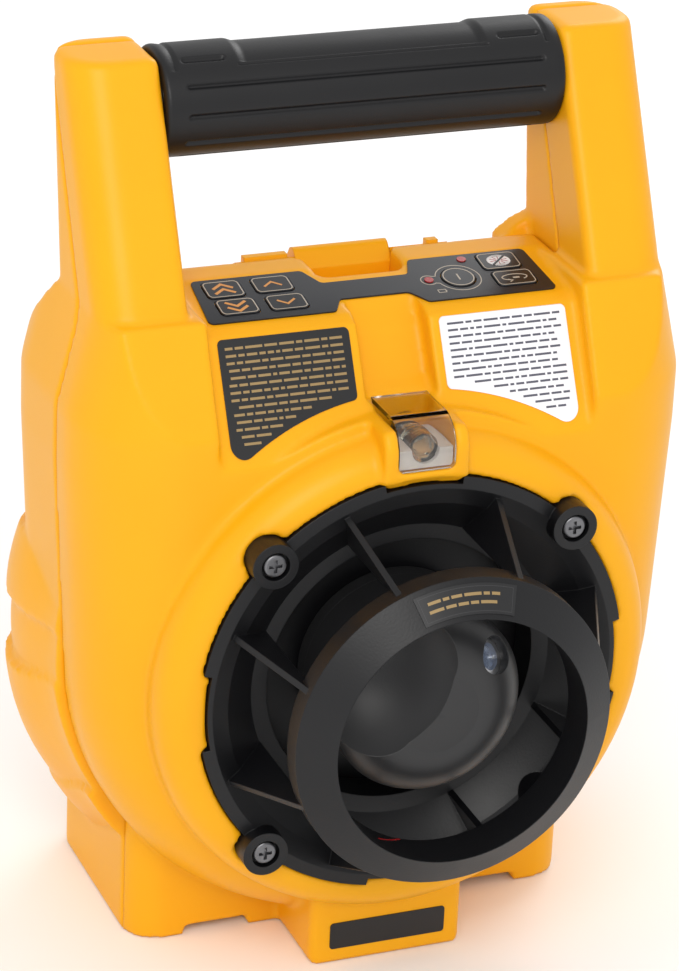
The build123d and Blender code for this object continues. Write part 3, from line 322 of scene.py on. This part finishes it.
def stroke_outline(points, width, closed):
    """Left and right edge points of a stroke along flat points, mitred at its corners."""
    count = len(points)
    pairs = []
    for k, (x, y) in enumerate(points):
        before = points[k - 1] if closed or k else None
        after = points[(k + 1) % count] if closed or k < count - 1 else None
        normals = []
        for a, b in ((before, (x, y)), ((x, y), after)):
            if a is None or b is None:
                continue
            dx, dy = b[0] - a[0], b[1] - a[1]
            length = math.hypot(dx, dy)
            normals.append((-dy / length, dx / length))
        nx = sum(n[0] for n in normals) / len(normals)
        ny = sum(n[1] for n in normals) / len(normals)
        grow = width / 2 / max(0.35, nx * nx + ny * ny)
        pairs.append(((x + nx * grow, y + ny * grow), (x - nx * grow, y - ny * grow)))
    return pairs


def printed(name, strokes, place, low, high, body, slot):
    """Thin raised print of (points, width, closed) strokes; place maps (u, v, height) to metres."""
    verts = []
    faces = []
    for points, width, closed in strokes:
        base = len(verts)
        for left, right in stroke_outline(points, width, closed):
            verts += [place(*left, low), place(*right, low)]
            verts += [place(*right, high), place(*left, high)]
        count = len(points)
        for k in range(count if closed else count - 1):
            a = base + 4 * k
            b = base + 4 * ((k + 1) % count)
            faces += [(a + i, a + (i + 1) % 4, b + (i + 1) % 4, b + i) for i in range(4)]
        if not closed:
            end = base + 4 * (count - 1)
            faces += [(base + 3, base + 2, base + 1, base), (end, end + 1, end + 2, end + 3)]
    new_piece(name, verts, faces, body, slot, smooth=False)


def arc(cx, cy, rx, ry, start, end, steps):
    """Points on an ellipse from one angle to another, in degrees."""
    angles = [math.radians(start + (end - start) * k / steps) for k in range(steps + 1)]
    return [(cx + rx * math.cos(a), cy + ry * math.sin(a)) for a in angles]


def ring(cx, cy, rx, ry, steps=40):
    return arc(cx, cy, rx, ry, 0, 360, steps)[:-1]


def round_rect(cx, cy, w, h, r):
    points = []
    for sx, sy, start in ((1, 1, 0), (-1, 1, 90), (-1, -1, 180), (1, -1, 270)):
        points += arc(cx + sx * (w / 2 - r), cy + sy * (h / 2 - r), r, r, start, start + 90, 5)
    return points


# ---------------------------------------------------------------- softened housing
SOFT_VOXEL = 0.0011        # metres
SOFT_PASSES = 3


def soften(node):
    """Copy of a CAD node with its moulded edges rounded over, in place of the sharp one."""
    source = frame["nodes"][node]
    copy = bpy.data.objects.new(node + "_moulded", source.data.copy())
    bpy.context.collection.objects.link(copy)
    remesh = copy.modifiers.new("remesh", "REMESH")
    remesh.mode = "VOXEL"
    remesh.voxel_size = SOFT_VOXEL
    remesh.use_smooth_shade = True
    smooth = copy.modifiers.new("smooth", "SMOOTH")
    smooth.factor = 0.5
    smooth.iterations = SOFT_PASSES
    shaped = copy.evaluated_get(bpy.context.evaluated_depsgraph_get())
    mesh = bpy.data.meshes.new_from_object(shaped)
    copy.modifiers.clear()
    copy.data = mesh
    mesh.polygons.foreach_set("use_smooth", [True] * len(mesh.polygons))
    mesh.materials.clear()
    mesh.materials.append(MATERIALS["yellow_shell"])
    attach(copy, source["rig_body"])
    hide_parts(node)


# ---------------------------------------------------------------- handle grip
GRIP_Y = 0.5               # axis of the grip, mm
GRIP_Z = 277.0
GRIP_R = 17.47
GRIP_HALF = 65.9
GRIP_BORE = 12.2
GRIP_ROUNDING = 1.5        # edge of each end
GROOVES = [30 - 31.2 * k for k in range(8)]    # angles, degrees
GROOVE_HALF = 58.0
GROOVE_DEPTH = 0.95
PANEL_HALF = 40.0          # sunk panel on top: half length
PANEL_SPAN = 38.0          # and half width, degrees
PANEL_DEPTH = 0.9
PAD_GROOVES = [60, 120]    # angles, degrees


def dip(distance, width):
    """Rounded groove profile: 1 in the middle and 0 beyond the width."""
    if distance >= width:
        return 0.0
    return 0.5 + 0.5 * math.cos(math.pi * distance / width)


def step_up(value, start, end):
    """Smooth step from 0 at start to 1 at end."""
    t = min(1.0, max(0.0, (value - start) / (end - start)))
    return t * t * (3 - 2 * t)


def grip_radius(x, angle):
    """Radius of the moulded grip: long grooves, a sunk panel on top and grooved end pads."""
    reach = abs(x)
    radius = GRIP_R
    for a in GROOVES:
        across = GRIP_R * math.radians(abs((angle - a + 180) % 360 - 180))
        radius -= GROOVE_DEPTH * dip(math.hypot(max(reach - GROOVE_HALF, 0), across), 1.35)
    above = abs((angle - 90 + 180) % 360 - 180)
    across = GRIP_R * math.radians(above)
    sunk = 1 - step_up(above, PANEL_SPAN - 2.5, PANEL_SPAN)
    sunk *= 1 - step_up(reach, PANEL_HALF - 2, PANEL_HALF + 1.5)
    radius -= PANEL_DEPTH * sunk
    edge = GRIP_R * math.radians(PANEL_SPAN + 1.5)
    along_edge = math.hypot(max(reach - PANEL_HALF - 1, 0), across - edge)
    radius -= 0.45 * dip(along_edge, 0.8)
    if reach > PANEL_HALF + 2:
        for a in PAD_GROOVES:
            across = GRIP_R * math.radians(abs(angle - a))
            beyond = max(reach - GROOVE_HALF, PANEL_HALF + 6 - reach, 0)
            radius -= GROOVE_DEPTH * dip(math.hypot(beyond, across), 1.5)
        radius -= 0.7 * dip(abs(reach - GROOVE_HALF - 3.2), 1.2) * (1 - step_up(above, 40, 44))
    over = reach - (GRIP_HALF - GRIP_ROUNDING)
    if over > 0:
        radius -= GRIP_ROUNDING - math.sqrt(max(GRIP_ROUNDING ** 2 - over ** 2, 0))
    return radius


def make_grip():
    steps = 480
    stations = []
    x = -GRIP_HALF
    while x < GRIP_HALF:
        stations.append(x)
        near_detail = 36 < abs(x) < 63
        x += 0.35 if near_detail or abs(x) > 64 else 2.0
    stations.append(GRIP_HALF)
    verts = []
    for x in stations:
        for k in range(steps):
            angle = 360 * k / steps
            r = grip_radius(x, angle)
            a = math.radians(angle)
            verts.append(Vector((x, GRIP_Y - r * math.cos(a), GRIP_Z + r * math.sin(a))) * MM)
    faces = []
    rows = len(stations)
    for i in range(rows - 1):
        for k in range(steps):
            n = (k + 1) % steps
            faces.append((i * steps + k, i * steps + n, (i + 1) * steps + n, (i + 1) * steps + k))
    bore = len(verts)
    for x in (stations[0], stations[-1]):
        for k in range(steps):
            a = 2 * math.pi * k / steps
            point = (x, GRIP_Y - GRIP_BORE * math.cos(a), GRIP_Z + GRIP_BORE * math.sin(a))
            verts.append(Vector(point) * MM)
    last = (rows - 1) * steps
    for k in range(steps):
        n = (k + 1) % steps
        faces.append((k, bore + k, bore + n, n))
        faces.append((last + k, last + n, bore + steps + n, bore + steps + k))
        faces.append((bore + k, bore + steps + k, bore + steps + n, bore + n))
    piece = new_piece("grip_moulding", verts, faces, "housing", "grip_rubber")
    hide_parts("handle_grip")


# ---------------------------------------------------------------- keypad print
KEY_TILT = math.radians(10.6)
KEY_MIDDLE = (-24.5, 219.136)    # depth and height of the keypad's middle, mm
KEYS = {                         # middle and size of each key on the keypad, mm
    "double_up": (-47.3, 5.9, 12.2, 9.4),
    "up": (-31.2, 6.1, 12.4, 8.9),
    "double_down": (-46.2, -4.4, 12.6, 8.7),
    "down": (-30.1, -4.6, 12.4, 8.6),
    "standby": (45.3, 6.2, 13.2, 9.6),
    "speed": (46.5, -4.2, 13.3, 8.6),
}
POWER = (28.7, -0.8)
POWER_LAMP = (18.8, -0.6)
KEY_TOP = 0.85                   # heights off the keypad plane
SHEET_TOP = 0.5
PRINT = 0.04                     # thickness of all print
KEY_PRINT = 0.30                 # width of a key's frame line


def on_keypad(x, y, height):
    """Point on the keypad: x across, y up the slope, height off the plane, in mm."""
    depth = KEY_MIDDLE[0] + y * math.cos(KEY_TILT) - height * math.sin(KEY_TILT)
    level = KEY_MIDDLE[1] + y * math.sin(KEY_TILT) + height * math.cos(KEY_TILT)
    return Vector((x, depth, level)) * MM


def chevron(cx, cy, half, rise, width):
    return ([(cx - half, cy - rise), (cx, cy + rise), (cx + half, cy - rise)], width, False)


def on_key(name, label, strokes, slot):
    printed(f"{name}_{label}", strokes, on_keypad, KEY_TOP, KEY_TOP + PRINT, name + "_button", slot)


def make_key_print():
    for name, (x, y, w, h) in KEYS.items():
        frame_line = (round_rect(x, y, w - 1.0, h - 1.0, 1.5), KEY_PRINT, True)
        on_key(name, "frame", [frame_line], "print_silver")
    x, y, _, _ = KEYS["double_up"]
    pair = [chevron(x, y + 1.5, 3.3, 1.25, 1.0), chevron(x, y - 1.3, 3.3, 1.25, 1.0)]
    on_key("double_up", "sign", pair, "print_orange")
    x, y, _, _ = KEYS["up"]
    on_key("up", "sign", [chevron(x, y, 2.9, 1.2, 0.75)], "print_orange")
    x, y, _, _ = KEYS["double_down"]
    pair = [chevron(x, y + 1.3, 3.3, -1.25, 1.0), chevron(x, y - 1.5, 3.3, -1.25, 1.0)]
    on_key("double_down", "sign", pair, "print_orange")
    x, y, _, _ = KEYS["down"]
    on_key("down", "sign", [chevron(x, y, 2.9, -1.2, 0.75)], "print_orange")
    x, y, _, _ = KEYS["speed"]
    loop = arc(x, y, 4.2, 1.7, -50, 250, 30)
    on_key("speed", "sign", [
        (loop, 0.4, False),
        ([(x - 2.6, y - 1.0), (x - 1.2, y - 1.7), (x - 2.4, y - 2.6)], 0.4, False),
        ([(x - 0.6, y - 0.3), (x + 1.6, y - 0.3)], 0.8, False),
    ], "print_silver")
    make_standby_print()
    make_power_print()


def make_standby_print():
    """White oval with a starburst struck through by a dark bar."""
    x, y, _, _ = KEYS["standby"]
    disc = []
    for k in range(-80, 81, 10):
        half = 3.9 * math.cos(math.radians(k))
        level = y + 2.9 * math.sin(math.radians(k))
        disc.append(([(x - half, level), (x + half, level)], 0.62, False))
    on_key("standby", "oval", disc, "print_white")
    rays = []
    for k in range(10):
        a = math.radians(36 * k + 12)
        start = (x + 0.9 * math.cos(a), y + 0.7 * math.sin(a))
        end = (x + 3.0 * math.cos(a), y + 2.2 * math.sin(a))
        rays.append(([start, end], 0.28, False))
    above = KEY_TOP + PRINT
    printed("standby_burst", rays, on_keypad, above, above + PRINT, "standby_button", "lamp_red")
    bar = [([(x + 2.7, y + 2.4), (x - 2.7, y - 2.4)], 0.7, False)]
    printed("standby_bar", bar, on_keypad, above, above + 2 * PRINT, "standby_button", "key_film")


def make_power_print():
    """Bar and ring on the power key; on the film, a ring round key and lamp and a battery sign."""
    x, y = POWER
    on_key("power", "sign", [
        (ring(x, y, 4.9, 4.9), 0.34, True),
        ([(x, y - 1.7), (x, y + 1.7)], 0.5, False),
    ], "print_silver")
    lx, ly = POWER_LAMP
    outline = arc(x, y, 7.3, 7.3, 163, -163, 56) + arc(lx, ly, 2.6, 2.6, -50, -310, 24)
    battery = [(19.4, -8.2), (21.9, -8.2), (21.9, -6.6), (19.4, -6.6)]
    printed("film_signs", [
        (outline, 0.30, True), (battery, 0.25, True), ([(22.1, -7.7), (22.1, -7.1)], 0.3, False),
    ], on_keypad, SHEET_TOP, SHEET_TOP + PRINT, "housing", "print_silver")


# ---------------------------------------------------------------- plain lines on the labels
LABEL_TOP = (-42.3, 214.5)       # depth and height of the labels' upper edge, mm
LABEL_RUN = 0.52                 # depth gained for each mm of height
LABEL_FACE = 0.4
LABEL_INNER = 17.5
LABEL_ARC_R = 92.4               # lower edge, round the head's axis
HEAD_Z = 104.0


def on_label(x, z, height):
    """Point on the sloped face labels, in mm; height is off the label's own face."""
    return Vector((x, LABEL_TOP[0] - LABEL_RUN * (LABEL_TOP[1] - z) - LABEL_FACE - height, z)) * MM


def word_widths(seed):
    """Endless run of word widths from a small fixed recurrence."""
    value = seed
    while True:
        value = (value * 37 + 11) % 101
        yield 1.3 + value % 7 * 0.7


def text_rows(side, top, bottom, pitch, height, seed):
    """Rows of plain bars that keep inside the label's outline."""
    strokes = []
    words = word_widths(seed)
    z = top
    while z > bottom:
        inner = LABEL_INNER
        lower_edge = z - height / 2 - HEAD_Z - 1.8
        if lower_edge < LABEL_ARC_R:
            inner = max(inner, math.sqrt(LABEL_ARC_R ** 2 - lower_edge ** 2) + 1.0)
        outer = 55.6 if z > 187 else 54.0
        x = inner
        while x < outer - 2:
            end = min(x + next(words), outer)
            strokes.append(([(side * x, z), (side * end, z)], height, False))
            x = end + 0.7
        z -= pitch
    return strokes


def make_label_print():
    rows = text_rows(-1, 211.8, 184.5, 2.0, 0.7, 5)
    printed("label_left_lines", rows, on_label, 0, PRINT, "housing", "print_tan")
    rows = text_rows(1, 212.2, 184.5, 1.85, 0.6, 17)
    printed("label_right_lines", rows, on_label, 0, PRINT, "housing", "print_dark")


RING_EDGE = (52.1, -106.3)       # radius and depth of the ring's bevel, mm
RING_LIP = (41.2, -113.4)
RING_MIDDLE_R = 47.0


def on_ring(angle_mm, run, height):
    """Point on the bevel of the ring: arc length from the top, distance in from its edge, in mm."""
    length = math.hypot(RING_LIP[0] - RING_EDGE[0], RING_LIP[1] - RING_EDGE[1])
    along = ((RING_LIP[0] - RING_EDGE[0]) / length, (RING_LIP[1] - RING_EDGE[1]) / length)
    r = RING_EDGE[0] + along[0] * run - along[1] * height
    y = RING_EDGE[1] + along[1] * run + along[0] * height
    a = math.radians(90) - angle_mm / RING_MIDDLE_R
    return Vector((r * math.cos(a), y, HEAD_Z + r * math.sin(a))) * MM


def make_ring_print():
    """Thin border and two lines of plain bars on the blank plate of the ring."""
    half = 14.9
    top, low = 2.7, 10.3
    border = [(-half + 2 * half * k / 24, top) for k in range(25)]
    border += [(half - 2 * half * k / 24, low) for k in range(25)]
    face = LABEL_FACE
    outline = [(border, 0.2, True)]
    printed("ring_border", outline, on_ring, face, face + PRINT, "housing", "print_grey")
    words = word_widths(29)
    strokes = []
    for run, start, end in ((5.0, -12.6, 12.8), (7.6, -13.0, 11.0)):
        x = start
        while x < end - 2:
            stop = min(x + next(words), end)
            points = [(x + (stop - x) * k / 4, run) for k in range(5)]
            strokes.append((points, 0.95, False))
            x = stop + 0.7
    printed("ring_lines", strokes, on_ring, face, face + PRINT, "housing", "print_tan")


# ---------------------------------------------------------------- vial marks, painted red reflection in the ring
VIAL_Z = 184.0
VIAL_R = 4.5


def vial_sleeve(name, start, end):
    """Thin dark tube round the vial, between two depths, in mm."""
    steps = 48
    inner = VIAL_R + 0.02
    outer = VIAL_R + 0.09
    verts = []
    for radius, depth in ((inner, start), (outer, start), (outer, end), (inner, end)):
        for k in range(steps):
            a = 2 * math.pi * k / steps
            verts.append(Vector((radius * math.cos(a), depth, VIAL_Z + radius * math.sin(a))) * MM)
    faces = []
    for loop in range(4):
        after = (loop + 1) % 4
        for k in range(steps):
            n = (k + 1) % steps
            faces.append((loop * steps + k, loop * steps + n, after * steps + n, after * steps + k))
    new_piece(name, verts, faces, "housing", "label_dark")


def make_vial_marks():
    """Two lines round the vial and the dark cap on its back end."""
    vial_sleeve("vial_line_front", -65.4, -65.0)
    vial_sleeve("vial_line_back", -63.1, -62.7)
    vial_sleeve("vial_cap", -58.6, -55.0)


def on_bore(turn, depth, height):
    """Point on the ring's bore: angle in degrees, depth and height off the wall in mm."""
    a = math.radians(turn)
    r = RING_LIP[0] - height
    return Vector((r * math.cos(a), depth, HEAD_Z + r * math.sin(a))) * MM


def make_painted_bore_reflection():
    """Thin red strip of painted reflection, standing for the red laser window's reflection, that runs
    slantwise across the bore of the ring.
    """
    steps = 12
    line = [(-124 + 15 * k / steps, -104.8 + 5.4 * k / steps) for k in range(steps + 1)]
    verts = []
    for turn, depth in line:
        for side, height in ((-0.35, 0.01), (0.35, 0.01), (0.35, 0.08), (-0.35, 0.08)):
            verts.append(on_bore(turn, depth + side, height))
    faces = [(3, 2, 1, 0)]
    for k in range(steps):
        a, b = 4 * k, 4 * k + 4
        faces += [(a + i, a + (i + 1) % 4, b + (i + 1) % 4, b + i) for i in range(4)]
    end = 4 * steps
    faces.append((end, end + 1, end + 2, end + 3))
    # the red strip is a painted reflection of the red laser window, laid on the bore wall as a thin red
    # piece
    new_piece("painted_bore_reflection", verts, faces, "housing", "lamp_red", smooth=False)


make_camera()
make_stage()
MATERIALS = make_materials()
dress_nodes(MATERIALS)
for shell in ("front_housing", "rear_housing"):
    soften(shell)
make_grip()
make_key_print()
make_label_print()
make_ring_print()
make_vial_marks()
# painted red reflection on the ring's bore
make_painted_bore_reflection()
